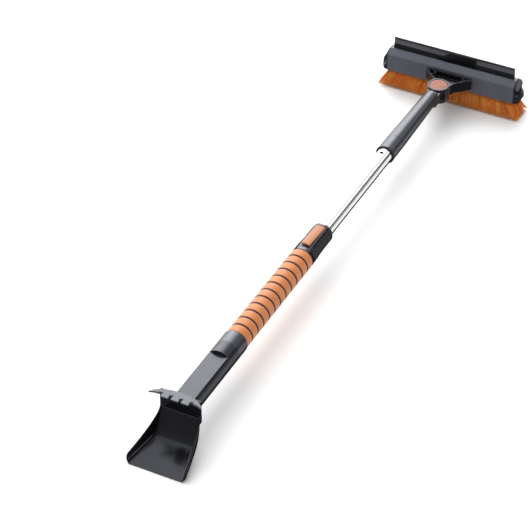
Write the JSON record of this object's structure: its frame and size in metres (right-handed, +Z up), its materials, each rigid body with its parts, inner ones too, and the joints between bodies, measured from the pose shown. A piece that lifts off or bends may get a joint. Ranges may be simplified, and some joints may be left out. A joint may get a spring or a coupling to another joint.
{
  "type": "snow brush scraper",
  "caption": "Telescoping snow brush with a pivoting bristle and squeegee head, foam grip, push-button locks and an ice scraper scoop with a toothed comb.",
  "frame": {"origin": "on the ground under the middle of the tool as it lies on its bristle tips and scraper edge", "axes": "+Y along the pole towards the brush head, +X along the brush to the right, +Z up"},
  "size_m": [0.26, 1.066, 0.0892],
  "materials": {
    "aluminium_bare": "drawn tube, satin",
    "aluminium_white": "bright anodised tube",
    "foam": "closed-cell foam",
    "grey_plastic": "satin moulded plastic",
    "slate_plastic": "fine-grained moulded plastic",
    "black_plastic": "moulded plastic",
    "gloss_black": "polished moulded plastic",
    "comb_plastic": "satin moulded plastic",
    "white_plastic": "natural acetal",
    "orange_plastic": "satin moulded plastic",
    "salmon_plastic": "satin moulded plastic",
    "bristle": "split-end plastic filament",
    "rubber": "soft rubber",
    "steel": "zinc plated steel"
  },
  "bodies": {
    "handle": {"handle_tube": "aluminium_bare", "foam_grip": "foam", "pole_ferrule": "grey_plastic", "lock_collar": "black_plastic", "lock_end_ring": "grey_plastic", "lock_grip_pads": "rubber", "lever_pivot_pin": "steel", "lever_spring": "steel", "scraper_arm": "grey_plastic", "arm_screw": "steel", "scoop_back": "gloss_black", "scraper_scoop": "gloss_black", "ice_comb": "comb_plastic"},
    "lock_lever": {"lock_lever": "orange_plastic", "lock_pin": "steel"},
    "pole": {"extension_tube": "aluminium_white", "tube_guide_bushing": "black_plastic", "neck_end_rim": "black_plastic", "neck_socket": "grey_plastic", "neck_arm": "grey_plastic", "hub_cap": "black_plastic", "cap_screws": "steel", "pivot_screw": "steel", "button_spring": "steel"},
    "pivot_button": {"pivot_button": "salmon_plastic", "index_gear": "white_plastic"},
    "brush_head": {"pivot_bracket": "black_plastic", "bracket_screws": "steel", "brush_housing": "slate_plastic", "housing_end_caps": "black_plastic", "bristle_base": "black_plastic", "bristles": "bristle", "squeegee_holder": "gloss_black", "squeegee_blade": "rubber", "squeegee_clip": "gloss_black"}
  },
  "joints": [
    {"name": "pole_slide", "type": "slide", "parent": "handle", "child": "pole", "axis": [0, 1, 0], "range_m": [-0.227, 0]},
    {"name": "brush_pivot", "type": "hinge", "parent": "pole", "child": "brush_head", "pos_m": [0, 0.445, 0.055], "axis": [0, 0, 1], "range_deg": [-90, 90]},
    {"name": "pivot_button_press", "type": "slide", "parent": "pole", "child": "pivot_button", "axis": [0, 0, -1], "range_m": [0, 0.0025], "stiffness_N_per_m": 2500, "springref_m": -0.002, "deforming": ["button_spring"]},
    {"name": "lock_lever_press", "type": "hinge", "parent": "handle", "child": "lock_lever", "pos_m": [0, -0.032, 0.0716], "axis": [1, 0, 0], "range_deg": [0, 4.3], "stiffness_Nm_per_rad": 1.2, "springref_deg": -4.58}
  ]
}
